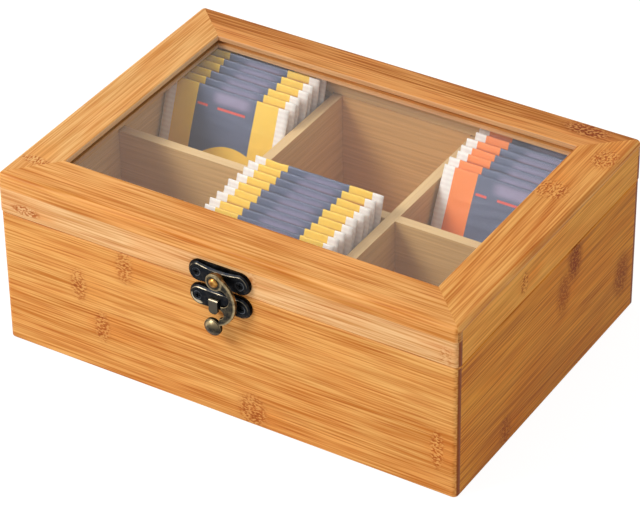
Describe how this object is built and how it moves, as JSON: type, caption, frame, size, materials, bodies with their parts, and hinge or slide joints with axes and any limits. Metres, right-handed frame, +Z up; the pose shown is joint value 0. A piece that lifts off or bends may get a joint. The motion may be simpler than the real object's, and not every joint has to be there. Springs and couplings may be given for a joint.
{
  "type": "bamboo tea box",
  "caption": "Bamboo tea box with compartments holding rows of tea sachets, a hinged lid with a clear window, and a swing-hook latch.",
  "frame": {"origin": "middle of the box's underside, on the face it stands on", "axes": "+X to the right seen from the front, +Y to the back, +Z up; the latch is on the -Y face"},
  "size_m": [0.24, 0.1843, 0.092],
  "materials": {
    "bamboo_board": "satin lacquered laminated bamboo, straight fine grain",
    "bamboo_frame": "satin lacquered laminated bamboo, straight fine grain",
    "bamboo_inside": "smooth unglossed bamboo",
    "clear_pane": "clear and polished",
    "dark_bronze": "near-black antique bronze, worn pale on the raised edges",
    "worn_bronze": "antique bronze worn olive brown",
    "brass": "dull yellow brass",
    "yellow_sachet_paper": "satin coated paper, slate blue middle, yellow fields and white crimped ends",
    "orange_sachet_paper": "satin coated paper, slate blue middle, orange fields and white crimped ends"
  },
  "bodies": {
    "box": {"board_back": "bamboo_board", "board_front": "bamboo_board", "board_left": "bamboo_board", "board_right": "bamboo_board", "divider_cross_left": "bamboo_inside", "divider_cross_right": "bamboo_inside", "divider_long": "bamboo_inside", "floor_panel": "bamboo_inside", "hinge_left_leaf_box": "dark_bronze", "hinge_left_pin": "dark_bronze", "hinge_left_screws_box": "dark_bronze", "hinge_right_leaf_box": "dark_bronze", "hinge_right_pin": "dark_bronze", "hinge_right_screws_box": "dark_bronze", "latch_plate_box": "dark_bronze", "latch_screw_box_left": "dark_bronze", "latch_screw_box_right": "dark_bronze", "sachet_left_1": "yellow_sachet_paper", "sachet_left_2": "yellow_sachet_paper", "sachet_left_3": "yellow_sachet_paper", "sachet_left_4": "yellow_sachet_paper", "sachet_left_5": "yellow_sachet_paper", "sachet_left_6": "yellow_sachet_paper", "sachet_left_7": "yellow_sachet_paper", "sachet_middle_1": "yellow_sachet_paper", "sachet_middle_2": "yellow_sachet_paper", "sachet_middle_3": "yellow_sachet_paper", "sachet_middle_4": "yellow_sachet_paper", "sachet_middle_5": "yellow_sachet_paper", "sachet_middle_6": "yellow_sachet_paper", "sachet_middle_7": "yellow_sachet_paper", "sachet_middle_8": "yellow_sachet_paper", "sachet_middle_9": "yellow_sachet_paper", "sachet_right_1": "orange_sachet_paper", "sachet_right_2": "orange_sachet_paper", "sachet_right_3": "orange_sachet_paper", "sachet_right_4": "orange_sachet_paper", "sachet_right_5": "orange_sachet_paper", "sachet_right_6": "orange_sachet_paper", "sachet_right_7": "orange_sachet_paper"},
    "lid": {"frame_back": "bamboo_frame", "frame_front": "bamboo_frame", "frame_left": "bamboo_frame", "frame_right": "bamboo_frame", "hinge_left_leaf_lid": "dark_bronze", "hinge_left_screws_lid": "dark_bronze", "hinge_right_leaf_lid": "dark_bronze", "hinge_right_screws_lid": "dark_bronze", "latch_plate_lid": "dark_bronze", "latch_rivet": "brass", "latch_screw_lid_left": "dark_bronze", "latch_screw_lid_right": "dark_bronze", "lid_board_back": "bamboo_board", "lid_board_front": "bamboo_board", "lid_board_left": "bamboo_board", "lid_board_right": "bamboo_board", "pane": "clear_pane"},
    "hook": {"latch_hook": "worn_bronze"}
  },
  "joints": [
    {"name": "lid_hinge", "type": "hinge", "parent": "box", "child": "lid", "pos_m": [0, 0.0882, 0.07065], "axis": [-1, 0, 0], "range_deg": [0, 100]},
    {"name": "hook_pivot", "type": "hinge", "parent": "lid", "child": "hook", "pos_m": [0.0005, -0.0915, 0.0772], "axis": [0, -1, 0], "range_deg": [0, 100]}
  ]
}
